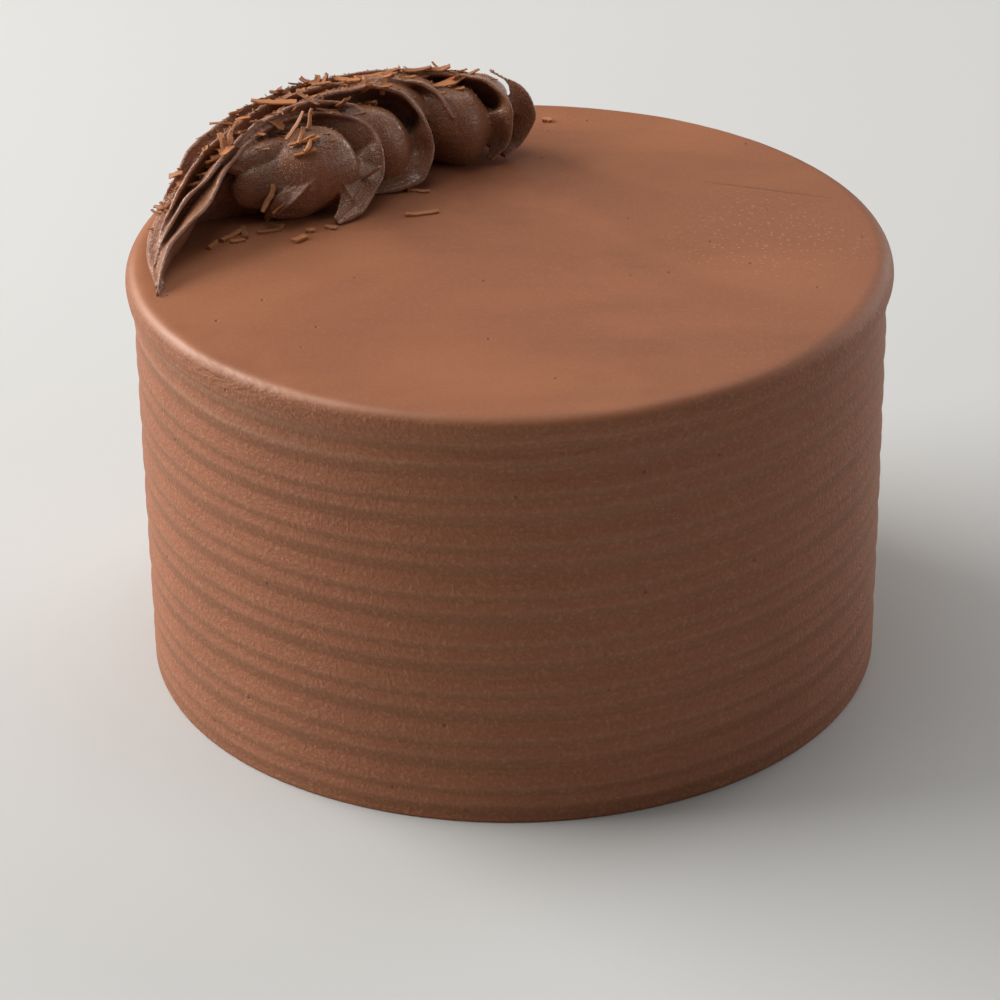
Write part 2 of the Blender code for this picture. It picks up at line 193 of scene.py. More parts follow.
class Finish:
    """A material whose nodes are added by name, with settings first and sockets after."""

    def __init__(self, name):
        self.material = bpy.data.materials.new(name)
        self.material.use_nodes = True
        self.tree = self.material.node_tree
        self.shader = self.tree.nodes["Principled BSDF"]

    def node(self, kind, options=None, output=0, **sockets):
        """Add a node, set its options, then its sockets by name with _ for a space."""
        added = self.tree.nodes.new("ShaderNode" + kind)
        for key, value in (options or {}).items():
            setattr(added, key, value)
        for key, value in sockets.items():
            plug(self.tree, value, added.inputs[key.replace("_", " ")])
        return Wire(self.tree, added.outputs[output])

    def place(self, scale=(1.0, 1.0, 1.0), turn=(0.0, 0.0, 0.0), shift=(0.0, 0.0, 0.0)):
        """Object coordinates, scaled and turned."""
        coordinates = self.node("TexCoord", output="Object")
        return self.node("Mapping", Vector=coordinates, Scale=scale, Rotation=turn, Location=shift)

    def across(self, axis, **placing):
        """One of the object coordinates, after they are turned and shifted."""
        return self.node("SeparateXYZ", output=axis, Vector=self.place(**placing))

    def reach(self, centre):
        """Distance from a place in the object."""
        away = self.place(shift=tuple(-value for value in centre))
        return self.node("VectorMath", {"operation": "LENGTH"}, output="Value", Vector=away)

    def attribute(self, name):
        """A number that the mesh keeps for each vertex."""
        return self.node("Attribute", {"attribute_name": name}, output="Fac")

    def noise(self, vector, scale, detail=2.0, roughness=0.5, distortion=0.0):
        return self.node(
            "TexNoise", Vector=vector, Scale=scale, Detail=detail, Roughness=roughness,
            Distortion=distortion,
        )

    def dots(self, vector, scale, size):
        """Round dots, 1 in the middle and 0 outside, one to a cell."""
        reach = self.node("TexVoronoi", Vector=vector, Scale=scale)
        return 1.0 - reach.ramp(0.35 * size, size)

    def blend(self, share, first, second):
        """Colour mix of two colours by a share."""
        step = self.tree.nodes.new("ShaderNodeMix")
        step.data_type = "RGBA"
        plug(self.tree, share, step.inputs["Factor"])
        for value, place in ((first, step.inputs[6]), (second, step.inputs[7])):
            plug(self.tree, value if isinstance(value, Wire) else (*value, 1.0), place)
        return Wire(self.tree, step.outputs[2])

    def bump(self, relief, distance, strength):
        """Normal of a relief of that distance."""
        return self.node("Bump", Height=relief, Distance=distance, Strength=strength)

    def set(self, **sockets):
        for key, value in sockets.items():
            plug(self.tree, value, self.shader.inputs[key.replace("_", " ")])
        return self.material


GRAIN_BED = (0.070, 0.004, 0.117)
SCRATCH_TURN = (0.0, 0.0, math.radians(19.3))
SCRATCH_ASIDE = 0.0559
SCRATCH_START = 0.033
SCRATCH_END = 0.080


def icing_finish(options):
    """Satin milk chocolate buttercream: smooth with grains on top, sandy with drag lines on the side; painted
    shade on the comb's down-facing slopes, in pits and in the scratch, and painted highlights on the comb's
    crests and the rim's crisp edge.
    """
    look = Finish("milk_chocolate_icing")
    facing = look.attribute("facing")
    torn = look.attribute("torn")
    top = look.across("Z").ramp(CAKE_TOP - 3.0 * MM, CAKE_TOP - 0.8 * MM)
    side = 1.0 - top
    dark = tuple(0.66 * part for part in options.colour)

    patches = look.noise(look.place(), 13.0, detail=3.0, roughness=0.55, distortion=0.7).ramp(0.42, 0.64)
    swipes = look.noise(look.place(scale=(18.0, 60.0, 20.0), turn=(0, 0, 0.5)), 1.0, detail=3.0)
    drags = look.noise(look.place(scale=(14.0, 14.0, 900.0)), 1.0, detail=2.0, roughness=0.6)
    mottle = look.noise(look.place(scale=(1.0, 1.0, 2.0)), 55.0, detail=3.0, roughness=0.6)
    colour = look.blend(patches * top * 0.85, options.colour, options.warm_colour)
    colour = look.blend(swipes.ramp(0.45, 0.75) * 0.28, colour, dark)
    colour = look.blend(mottle.ramp(0.50, 0.75) * 0.20 * side, colour, options.warm_colour)
    colour = look.blend(drags.ramp(0.50, 0.72) * 0.22 * side, colour, dark)
    # Painted shade on the comb's slopes that face down, on the side.
    painted_groove_shade = (facing * -0.5 + 0.5).ramp(0.25, 0.95) * side
    colour = look.blend(painted_groove_shade * 0.42, colour, options.painted_slope_shade_colour)

    # Painted highlight on the comb's crests.
    colour = look.blend(look.attribute("crest") * 0.60, colour, options.crest_highlight_colour)
    # Painted highlight on the crisp edge of the rim.
    edge = look.attribute("edge")
    colour = look.blend(edge * 0.62, colour, options.edge_highlight_colour)

    thin_beds = look.noise(look.place(shift=(0.03, 0.02, 0.0)), 9.0, detail=2.0).ramp(0.40, 0.70) * 0.45
    bed_reach = look.reach(GRAIN_BED) + look.noise(look.place(), 40.0, detail=2.0) * 0.03
    grain_beds = (thin_beds + (1.0 - bed_reach.ramp(0.026, 0.050))).maths("MINIMUM", 1.0)
    top_grains = look.dots(look.place(), 560.0, 0.30) * grain_beds * top
    along = look.across("X", turn=SCRATCH_TURN)
    aside = (look.across("Y", turn=SCRATCH_TURN) - SCRATCH_ASIDE).maths("ABSOLUTE")
    ends = along.ramp(SCRATCH_START, SCRATCH_START + 0.012)
    ends = ends * (1.0 - along.ramp(SCRATCH_END - 0.02, SCRATCH_END))
    scratch = (1.0 - aside.ramp(0.00008, 0.0006)) * ends * top
    # Painted shade darkening the scratch, which the bump also presses in.
    colour = look.blend(scratch * 0.45, colour, dark)
    side_dots = look.dots(look.place(), 330.0, 0.20) * side
    fine_dots = look.dots(look.place(shift=(0.4, 0.1, 0.2)), 640.0, 0.27) * side
    sand = look.noise(look.place(), 900.0, detail=2.0, roughness=0.75)
    light_sand = sand.ramp(0.52, 0.68) * (0.10 + side * 0.12)
    grains = (top_grains * 0.50 + side_dots * 0.13 + fine_dots * 0.11 + light_sand).maths("MINIMUM", 1.0)
    colour = look.blend(grains, colour, options.grain_colour)
    colour = look.blend((1.0 - sand.ramp(0.32, 0.47)) * (0.08 + side * 0.22), colour, dark)
    # Pits: pressed in by the bump, with painted shade darkening them.
    pits = look.dots(look.place(shift=(0.7, 0.3, 0.5)), 95.0, 0.060)
    colour = look.blend(pits * 0.45, colour, tuple(0.45 * part for part in options.colour))

    cream = look.noise(look.place(), 260.0, detail=2.0)
    scrape = look.noise(look.place(scale=(300.0, 300.0, 800.0)), 1.0, detail=1.0, roughness=0.7)
    relief = (
        sand * (0.12 + side * 1.30)
        + cream * (0.18 + side * 0.30)
        + drags * side * 0.50
        + swipes * top * 0.30
        + (side_dots * 0.25 + top_grains * 0.25)
        + scrape * torn * 2.2
        - pits * 1.6
        - scratch * 1.3
    )
    roughness = 0.50 + side * 0.08 + cream * 0.10 - patches * 0.04 - edge * 0.12
    return look.set(
        Base_Color=colour, Roughness=roughness, Specular_IOR_Level=0.32,
        Normal=look.bump(relief, 0.30 * MM, strength=0.8),
    )


def piping_finish(options):
    """Dark chocolate buttercream with a speckled sheen from gloss and bump, drag lines and pale patches; a
    painted speckled highlight, painted highlights on thin rims, and painted shade in pits.
    """
    look = Finish("dark_chocolate_piping")
    edge = look.attribute("rim")
    strand = look.attribute("strand")
    along = look.node("CombineXYZ", X=strand, Y=look.across("Z") * 0.15, Z=look.across("X") * 0.15)
    drags = look.noise(along, 1500.0, detail=1.0, roughness=0.6)
    speckle = look.noise(look.place(), 1700.0, detail=1.0, roughness=0.7).ramp(0.50, 0.64)
    cream = look.noise(look.place(), 420.0, detail=3.0, roughness=0.6)
    blots = look.noise(look.place(), 70.0, detail=3.0).ramp(0.42, 0.7)
    deep = tuple(0.45 * part for part in options.colour)
    colour = look.blend(blots * 0.60, options.colour, deep)
    colour = look.blend(drags.ramp(0.48, 0.70) * 0.45, colour, deep)
    # Painted speckled highlight and pale patches, then a painted highlight along the thin rims.
    colour = look.blend(speckle * 0.34 + cream.ramp(0.55, 0.75) * 0.20, colour, options.highlight_and_pale_patch_colour)
    colour = look.blend(edge * 0.80, colour, options.highlight_and_pale_patch_colour)
    # Pits: pressed in by the bump, with painted shade darkening them.
    pits = look.dots(look.place(shift=(0.2, 0.6, 0.1)), 240.0, 0.09)
    colour = look.blend(pits * 0.7, colour, tuple(0.3 * part for part in options.colour))
    relief = cream * 0.7 + speckle * 0.55 + drags * 0.7 - pits * 1.4
    roughness = 0.30 + speckle * 0.18 + blots * 0.10 + edge * 0.12
    return look.set(
        Base_Color=colour, Roughness=roughness, Specular_IOR_Level=0.80,
        Normal=look.bump(relief, 0.32 * MM, strength=0.9),
    )


def shaving_finish(options):
    """Dry shaved chocolate: each flake has its own shade, with pale scraped streaks."""
    look = Finish("chocolate_shaving")
    shade = look.node("Attribute", {"attribute_name": "shade"}, output="Fac")
    streaks = look.noise(look.place(scale=(1.0, 1.0, 2.5)), 1100.0, detail=3.0, roughness=0.65)
    colour = look.blend(shade, options.dark_colour, options.colour)
    pale = tuple(min(1.0, 1.75 * c + 0.03) for c in options.colour)
    colour = look.blend(streaks.ramp(0.55, 0.8) * 0.45, colour, pale)
    return look.set(
        Base_Color=colour, Roughness=0.52 + streaks * 0.15, Specular_IOR_Level=0.4,
        Normal=look.bump(streaks, 0.15 * MM, strength=0.8),
    )


def floor_finish():
    """Plain pale floor."""
    look = Finish("pale_floor")
    cloud = look.noise(look.place(), 3.0, detail=2.0)
    colour = look.blend(cloud * 0.4, (0.58, 0.58, 0.57), (0.62, 0.62, 0.61))
    return look.set(Base_Color=colour, Roughness=0.75, Specular_IOR_Level=0.25)


# Modelling helpers

def deselect():
    if bpy.context.object and bpy.context.object.mode != "OBJECT":
        bpy.ops.object.mode_set(mode="OBJECT")
    bpy.ops.object.select_all(action="DESELECT")


def grasp(piece):
    """Make a piece the only one selected and the active one."""
    deselect()
    piece.select_set(True)
    bpy.context.view_layer.objects.active = piece


def apply_modifier(piece, kind, **options):
    """Add a modifier, set it and apply it."""
    grasp(piece)
    added = piece.modifiers.new(kind.lower(), kind)
    for key, value in options.items():
        setattr(added, key, value)
    bpy.ops.object.modifier_apply(modifier=added.name)


def spun(name, outline, sides):
    """Closed turned piece: a chain of points, extruded one by one and spun round the middle."""
    deselect()
    start = Vector((outline[0][0], 0.0, outline[0][1]))
    bpy.ops.mesh.primitive_plane_add(size=MM, location=start)
    piece = bpy.context.object
    piece.name = name
    bpy.ops.object.mode_set(mode="EDIT")
    bpy.ops.mesh.merge(type="CENTER")
    for (radius, level), (wider, higher) in zip(outline, outline[1:]):
        step = (wider - radius, 0.0, higher - level)
        bpy.ops.mesh.extrude_region_move(TRANSFORM_OT_translate={"value": step})
    bpy.ops.mesh.select_all(action="SELECT")
    bpy.ops.mesh.spin(steps=sides, angle=2.0 * math.pi, center=(0, 0, 0), axis=(0, 0, 1))
    bpy.ops.mesh.select_all(action="SELECT")
    bpy.ops.mesh.remove_doubles(threshold=0.002 * MM)
    bpy.ops.mesh.normals_make_consistent(inside=False)
    bpy.ops.object.mode_set(mode="OBJECT")
    bpy.ops.object.transform_apply(location=True, rotation=True, scale=True)
    return piece


def reshape(piece, move):
    """Move every vertex by a function of its place."""
    for vertex in piece.data.vertices:
        vertex.co = move(vertex.co.copy())
    piece.data.update()


def store(piece, name, values):
    """Keep a number for each vertex as an attribute that the materials read."""
    piece.data.attributes.new(name, "FLOAT", "POINT").data.foreach_set("value", values)


def add_loft(shape, rows):
    """Add a closed loft of rings to a bmesh."""
    rings = [[shape.verts.new(point) for point in row] for row in rows]
    faces = []
    for low, high in zip(rings, rings[1:]):
        count = len(low)
        for index in range(count):
            after = (index + 1) % count
            faces.append(shape.faces.new((low[index], low[after], high[after], high[index])))
    faces.append(shape.faces.new(rings[0]))
    faces.append(shape.faces.new(rings[-1]))
    bmesh.ops.recalc_face_normals(shape, faces=faces)
    return faces


def new_piece(name, shape):
    mesh_data = bpy.data.meshes.new(name)
    shape.to_mesh(mesh_data)
    shape.free()
    piece = bpy.data.objects.new(name, mesh_data)
    bpy.context.scene.collection.objects.link(piece)
    return piece


def dress(piece, material, slot, *nodes):
    """Give a finished piece its material and body, and hide the CAD nodes that it stands for; the slot is not
    used.
    """
    piece.data.materials.clear()
    piece.data.materials.append(material)
    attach(piece, "root")
    if nodes:
        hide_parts(*nodes)


# The iced cake

FIRST_GROOVE_BELOW_TOP = 2.7 * MM
GROOVE_CORNERS = ((0.0, 1.0), (5.0 / 14.0, 0.0), (7.2 / 14.0, 0.5), (10.0 / 14.0, 0.0), (1.0, 1.0))
CORNER_ROUNDING = 0.035
BASE_TAPER = 0.4 * MM
BASE_CHAMFER = 0.8 * MM
ROW_STEP = 0.72 * MM


def groove_line(phase):
    phase -= math.floor(phase)
    for (start, first), (end, last) in zip(GROOVE_CORNERS, GROOVE_CORNERS[1:]):
        if phase <= end:
            return mix(first, last, (phase - start) / (end - start))
    return 1.0


def groove(phase):
    """Share of the comb's depth at a phase of its pattern, with eased corners."""
    samples = 7
    spread = [CORNER_ROUNDING * (2.0 * k / (samples - 1) - 1.0) for k in range(samples)]
    return sum(groove_line(phase + shift) for shift in spread) / samples


def cake_outline(icing):
    """Radius and height from the middle of the base, up the side and in over the top."""
    side = LIP_RADIUS - SIDE_INSET
    rounding = icing.rim_rounding
    outline = [(share * (side - 2.0 * MM), 0.0) for share in (0.0, 0.3, 0.6, 0.85, 0.97)]
    outline += [(side - BASE_TAPER - BASE_CHAMFER, 0.0), (side - BASE_TAPER, BASE_CHAMFER)]
    lip_start = CAKE_TOP - 1.35 * rounding
    rows = round((lip_start - 2.0 * BASE_CHAMFER) / ROW_STEP)
    for row in range(rows + 1):
        level = mix(2.0 * BASE_CHAMFER, lip_start, row / rows)
        outline.append((side - BASE_TAPER * (1.0 - level / CAKE_TOP), level))
    for step in range(-3, 19):
        angle = math.radians(5.0 * step)
        out = LIP_RADIUS - rounding + rounding * math.cos(angle)
        outline.append((out, CAKE_TOP - rounding + rounding * math.sin(angle)))
    rings = 24
    for ring in range(1, rings + 1):
        outline.append((FLAT_RADIUS * (1.0 - ring / rings), CAKE_TOP))
    return outline


def ring_shift(azimuth, level, icing):
    """How far the comb's rings climb to the right and dip at the front left."""
    inside = smooth(level / (20 * MM)) * smooth((CAKE_TOP - level) / (14 * MM))
    climb = icing.ring_tilt * math.sin(azimuth)
    near_top = smooth((level - 70 * MM) / (30 * MM))
    dip = 2.6 * MM * near_top * bell(azimuth, math.radians(-40), 0.5)
    return inside * (climb - dip)


def combed(point, icing):
    """A point of the plain turned cake, moved to the combed and hand-smoothed surface."""
    x, y, z = point
    out = math.hypot(x, y)
    if out < 1.0 * MM or z <= 0.0:
        return point
    azimuth = math.atan2(x, -y)
    level = z
    on_side = smooth((out - FLAT_RADIUS) / (4.0 * MM)) * smooth((CAKE_TOP - 5.0 * MM - z) / (2.5 * MM))
    down = (CAKE_TOP - FIRST_GROOVE_BELOW_TOP - level) / icing.comb_pitch
    strength = mix(0.55, 1.0, bell(azimuth, math.radians(5), 1.05, 4))
    strength *= 1.0 + 0.30 * wander(x, y, 2.2 * z, 45 * MM, 2.0)
    out -= on_side * icing.comb_depth * strength * groove(down) * smooth(level / (3.0 * MM))
    out -= on_side * 0.25 * MM * (1.0 + wander(x, y, z, 60 * MM, 5.0))
    z += on_side * (ring_shift(azimuth, level, icing) + 0.30 * MM * wander(x, y, 0.6 * z, 30 * MM, 9.0))
    on_lip = smooth((out - FLAT_RADIUS + 2.0 * MM) / (4.0 * MM)) * (1.0 - on_side)
    corner = LIP_RADIUS - icing.rim_rounding, CAKE_TOP - icing.rim_rounding
    if out > corner[0] and level > corner[1]:
        across = (out - corner[0]) / icing.rim_rounding
        reach = rim_reach(azimuth, across, (level - corner[1]) / icing.rim_rounding)
        out = corner[0] + (out - corner[0]) * reach
        z = corner[1] + (level - corner[1]) * reach
    out -= on_lip * 0.18 * MM * (1.0 + wander(x, y, 3.0 * z, 22 * MM, 7.0))
    torn = torn_share(azimuth, level)
    out -= torn * 0.45 * MM * (0.5 + 0.5 * wander(x, y, z, 2.6 * MM, 12.0))
    on_top = smooth((CAKE_TOP + 0.2 * MM - level) / (0.1 * MM))
    on_top *= smooth((level - CAKE_TOP + 3.0 * MM) / (3.0 * MM))
    z -= on_top * top_hollow(x, y)
    scale = out / math.hypot(x, y)
    return Vector((x * scale, y * scale, z))


def rim_reach(azimuth, across, up):
    """How far the rounded rim is drawn out towards a corner: crisp from the left round to the front right."""
    power = 2.0 + 1.25 * bell(azimuth, math.radians(-14), 1.15, 6)
    return (across ** power + up ** power) ** (-1.0 / power)


def torn_share(azimuth, level):
    """Where the rim was torn by the spatula: front left, just below the crest."""
    along = bell(azimuth, math.radians(-43), 0.24, 4)
    return along * bell(level - CAKE_TOP, -3.4 * MM, 2.4 * MM)


def comb_facing(point, icing):
    """-1 on combed slopes that face down, 1 on those that face up, 0 off the comb."""
    x, y, z = point
    if z > CAKE_TOP - 7.0 * MM or math.hypot(x, y) < FLAT_RADIUS:
        return 0.0
    down = (CAKE_TOP - FIRST_GROOVE_BELOW_TOP - z) / icing.comb_pitch
    rise = groove(down + 0.02) - groove(down - 0.02)
    return max(-1.0, min(1.0, -rise * 9.0))


def comb_crest_highlight(point, icing):
    """1 on the comb's two thin crests below the rim at the left, a third on the rest: the mask of a painted
    highlight.
    """
    if point.z > CAKE_TOP - 6.0 * MM or math.hypot(point.x, point.y) < FLAT_RADIUS:
        return 0.0
    down = (CAKE_TOP - FIRST_GROOVE_BELOW_TOP - point.z) / icing.comb_pitch
    left = bell(math.atan2(point.x, -point.y), math.radians(-62), 0.75, 4)
    upper = 1.0 - smooth((down - 0.8) / 0.2)
    return mix(0.30, 1.0, left * upper) * (1.0 - groove(down)) ** 7


def rim_crest_highlight(point):
    """1 on the crisp edge of the rim at the front left: the mask of a painted highlight."""
    azimuth = math.atan2(point.x, -point.y)
    along = bell(azimuth, math.radians(-52), 0.62, 4)
    out = math.hypot(point.x, point.y) - FLAT_RADIUS
    up = point.z - (CAKE_TOP - 5.5 * MM)
    if out < 0.5 * MM or up < 0.5 * MM:
        return 0.0
    turn = math.degrees(math.atan2(up, out))
    return along * bell(turn, 50.0, 9.0) * (0.75 + 0.25 * wander(*point, 9 * MM, 17.0))


def top_hollow(x, y):
    """Depth of the spatula's faint swells below the level top."""
    swell = 0.5 + 0.5 * wander(x, 1.6 * y, 0.0, 34 * MM, 4.0)
    ripple = 0.5 + 0.5 * wander(x + y, 2.5 * (y - x), 0.0, 16 * MM, 6.0)
    return 0.26 * MM * swell + 0.10 * MM * ripple


class CAKE_OT_ice(bpy.types.Operator):
    """Turn the cake, comb its side and smooth its top"""
    bl_idname = "cake.ice"
    bl_label = "Iced cake"

    def execute(self, context):
        icing = context.scene.cake_icing
        cake = spun("iced_cake", cake_outline(icing), icing.sides)
        plain = [vertex.co.copy() for vertex in cake.data.vertices]
        # The facing mask feeds the painted shade on the comb's down-facing slopes.
        store(cake, "facing", [comb_facing(point, icing) for point in plain])
        store(cake, "crest", [comb_crest_highlight(point, icing) for point in plain])
        store(cake, "edge", [rim_crest_highlight(point) for point in plain])
        store(cake, "torn", [torn_share(math.atan2(point.x, -point.y), point.z) for point in plain])
        reshape(cake, lambda point: combed(point, icing))
        grasp(cake)
        bpy.ops.object.shade_smooth()
        dress(cake, icing_finish(icing), "milk_chocolate_icing", "cake")
        return {"FINISHED"}


# The piped garland

TAIL_AZIMUTH = 75.0
FULL_AZIMUTH = 118.0
END_AZIMUTH = 178.0
HOOK_REACH = 7.0
FIN_ROOT = 0.45
HOOD_LEAN = math.radians(38)
FLARE_LEAN = math.radians(26)
FIN_STEPS = 110
FIN_BLEND = 5

FIN_ROUTES = {
    "front": (
        (107, 47.5, 0.3), (113, 44.8, 0.8), (119, 43.5, 1.8), (131, 44.5, 8.5), (134, 50.5, 18.0),
        (126.5, 59.5, 23.5), (114.5, 69.0, 23.0), (102, 74.5, 18.5), (90, 79.0, 12.5), (82, 88.5, 7.5),
        (72, 95.5, 0.8),
    ),
    "shoulder": (
        (140, 52.0, 14.0), (137, 55.0, 20.0), (133.5, 57.5, 23.8), (127, 62.0, 26.0), (119, 66.5, 26.4),
        (110, 73.0, 22.5), (101, 77.5, 17.0),
    ),
    "second": (
        (132, 50.0, 0.4), (141, 45.5, 0.8), (149, 44.5, 2.5), (154, 46.5, 9.0), (153, 49.5, 18.0),
        (145, 57.0, 26.0), (133, 61.5, 27.0), (121, 66.0, 26.5), (110, 73.5, 23.5), (98, 78.5, 17.5),
        (90, 87.0, 10.5), (80, 94.6, 1.5),
    ),
    "third": (
        (163, 50.0, 16.0), (159, 55.5, 23.0), (150, 61.0, 26.0), (141, 65.0, 26.5), (127, 71.5, 26.0),
        (112, 78.0, 23.5), (101, 84.5, 17.5), (86, 93.5, 2.0),
    ),
    "fourth": (
        (175, 53.0, 0.8), (180, 54.0, 6.0), (181, 55.0, 16.0), (175, 59.0, 22.5), (162, 64.0, 24.5),
        (146, 71.0, 25.5), (130, 77.0, 25.0), (115, 84.5, 21.5), (106, 90.0, 15.5), (93, 94.5, 2.5),
    ),
    "hook": (
        (179, 56.0, 0.8), (184, 59.5, 4.0), (187, 61.0, 11.0), (185, 61.5, 18.0), (180, 63.5, 21.5),
        (176, 66.5, 23.5),
    ),
    "thread": ((104, 66.5, 0.2), (102, 62.5, 4.0), (103, 58.5, 7.5), (107, 55.5, 10.5), (111, 53.5, 13.0)),
    "fold": ((108, 73.0, 16.5), (111, 70.5, 18.5), (114, 67.5, 20.0), (117, 63.5, 20.5)),
    "back_high": (
        (174, 75.0, 10.0), (165, 78.5, 15.5), (152, 81.5, 17.0), (138, 83.5, 17.0),
        (124, 87.0, 15.0), (112, 91.5, 10.0), (101, 94.8, 2.0),
    ),
    "back_low": (
        (168, 80.0, 2.0), (158, 84.5, 5.0), (146, 86.5, 6.5), (134, 88.0, 6.5), (121, 90.5, 5.0),
        (110, 93.5, 1.2),
    ),
}

# Lobes between the fins: azimuth, radius, height, half width and half height of each knot
LOBES = {
    "front": (
        (104.5, 65.0, 5.5, 2.5, 4.5), (108.5, 62.0, 8.5, 8.0, 8.8), (115, 60.0, 10.2, 11.0, 11.0),
        (121.5, 58.0, 10.6, 10.3, 10.8), (127.5, 56.0, 10.3, 4.5, 5.5),
    ),
    "front_low": (
        (101.5, 73.5, 9.0, 1.6, 2.0), (103, 71.5, 9.0, 4.5, 5.0), (107, 68.0, 9.2, 6.6, 6.8),
        (113, 64.0, 9.8, 8.0, 8.0), (119, 60.0, 10.0, 7.0, 7.0),
    ),
    "front_high": (
        (102.5, 76.0, 15.0, 1.0, 1.2), (105, 73.0, 15.6, 3.3, 3.1), (110, 68.5, 16.4, 4.3, 4.0),
        (116, 64.5, 16.0, 3.4, 3.4),
    ),
    "second": (
        (124, 68.0, 16.0, 3.0, 4.0), (130, 62.0, 13.0, 8.5, 10.0), (137, 57.5, 10.5, 10.0, 12.2),
        (144, 55.0, 9.5, 8.0, 10.5), (149, 54.0, 9.0, 3.0, 4.5),
    ),
    "third": (
        (148, 68.0, 15.0, 3.0, 5.0), (155, 63.5, 12.5, 8.0, 9.5), (163, 60.0, 10.5, 9.5, 11.4),
        (170, 58.5, 10.0, 8.0, 10.0), (175, 58.0, 9.5, 3.0, 4.0),
    ),
}


def placed(azimuth, radius, height):
    """Point at an azimuth in degrees, a radius and a height above the garland's bed."""
    around = math.radians(azimuth)
    return Vector((-radius * math.sin(around), -radius * math.cos(around), GARLAND_LOW[2] + height))


def core_size(azimuth):
    """Radius of the core's middle, its half width and its height at an azimuth."""
    growth = smooth((azimuth - TAIL_AZIMUTH + 1.0) / (FULL_AZIMUTH - TAIL_AZIMUTH))
    ending = smooth((azimuth - 150.0) / (END_AZIMUTH - 150.0))
    radius = mix(mix(93.5, 70.0, growth ** 2.2), 67.5, ending) * MM
    width = mix(mix(2.6, 29.0, growth ** 1.4), 18.0, ending) * MM
    height = mix(mix(1.6, 20.0, growth ** 1.4), 15.0, ending) * MM
    height *= mix(0.70, 1.0, smooth((azimuth - 86.0) / 26.0))
    recess = 4.6 * MM * bell(azimuth, 101.0, 8.0)
    radius += recess
    width -= 2.0 * recess
    return radius, width / 2.0, height


def core_rows(steps=90, sides=40):
    rows = []
    for step in range(steps + 1):
        share = step / steps
        azimuth = mix(TAIL_AZIMUTH, END_AZIMUTH, share)
        radius, half_width, height = core_size(azimuth)
        shrink = math.sqrt(min(1.0, 0.08 + (1.0 - share) * 8.0))
        row = []
        for index in range(sides):
            turn = 2.0 * math.pi * index / sides
            level = height * max(0.0, 0.45 + 0.55 * shrink * math.sin(turn))
            row.append(placed(azimuth, radius - shrink * half_width * math.cos(turn), level))
        rows.append(row)
    return rows


def spline(knots, share):
    """Catmull-Rom value through evenly spread knots."""
    spans = len(knots) - 1
    place = min(max(share, 0.0), 1.0) * spans
    index = min(int(place), spans - 1)
    t = place - index
    before = knots[max(index - 1, 0)]
    start, end = knots[index], knots[index + 1]
    after = knots[min(index + 2, spans)]
    return tuple(
        0.5 * (2 * s + (e - b) * t + (2 * b - 5 * s + 4 * e - a) * t * t + (3 * s - b - 3 * e + a) * t ** 3)
        for b, s, e, a in zip(before, start, end, after)
    )


def lobe_rows(knots, rings=40, sides=36):
    """Rings of a tapered lobe through its knots, cut flat where it meets the bed."""
    rows = []
    for ring in range(rings + 1):
        azimuth, radius, height, half_width, half_height = spline(knots, ring / rings)
        row = []
        for index in range(sides):
            turn = 2.0 * math.pi * index / sides
            out = radius + half_width * math.cos(turn)
            level = max(0.0, height + half_height * math.sin(turn))
            row.append(placed(azimuth, out * MM, level * MM))
        rows.append(row)
    return rows


def fin_section(height, base, edge):
    """Across and outward places of a fin's section: steep back, thin rim, hollow towards the tail."""
    corners = (
        (-0.22 * base, -FIN_ROOT * height),
        (-0.17 * base, 0.22 * height),
        (-0.09 * base, 0.66 * height),
        (0.03 * base - 0.5 * edge, 1.00 * height),
        (0.03 * base + 0.5 * edge, 0.97 * height),
        (0.10 * base, 0.62 * height),
        (0.24 * base, 0.28 * height),
        (0.40 * base, 0.06 * height),
        (0.62 * base, -FIN_ROOT * height),
    )
    fine = []
    for index in range(len(corners) - 1):
        for part in range(3):
            fine.append(spline(corners, (index + part / 3.0) / (len(corners) - 1)))
    fine.append(corners[-1])
    return fine


def fin_size(name, share, piping):
    """Height and base of a fin's section at a share of its route from nib to tail."""
    if name == "hook":
        size = mix(1.0, 0.06, smooth((share - 0.28) / 0.56))
        return piping.fin_height * size * 1.15, piping.fin_base * size
    if name in ("thread", "fold"):
        size = 0.08 + 0.20 * math.sin(math.pi * min(max(share, 0.0), 1.0))
        return piping.fin_height * size, 0.5 * piping.fin_base * size
    if name.startswith("back"):
        size = 0.55 * smooth(share / 0.2) + 0.05
        tip = mix(1.0, 0.22, smooth((share - 0.75) / 0.25))
        return piping.fin_height * size * tip, piping.fin_base * size * tip
    if name == "shoulder":
        size = 0.20 + 0.45 * smooth(share / 0.3)
        return piping.fin_height * size, 0.7 * piping.fin_base * size
    nib = mix(0.15, 1.0, smooth(share / 0.25))
    tail = mix(1.0, 0.40, smooth((share - 0.42) / 0.25))
    tip = mix(1.0, 0.22, smooth((share - 0.86) / 0.14))
    return piping.fin_height * nib * mix(tail, 1.0, 0.35) * tip, piping.fin_base * nib * tail * tip


def fin_lean(name, share, height):
    """Lean of a fin: flared open low at the front, hooded over its lobe at the crown, upright at the tail."""
    if name in ("thread", "fold", "hook") or name.startswith("back"):
        return 0.0
    if name == "shoulder":
        return 0.5 * HOOD_LEAN
    crown = smooth((height - 13.0) / 9.0) if share < 0.5 else 1.0
    return mix(-FLARE_LEAN, HOOD_LEAN, crown) * smooth(share / 0.25) * (1.0 - smooth((share - 0.50) / 0.28))


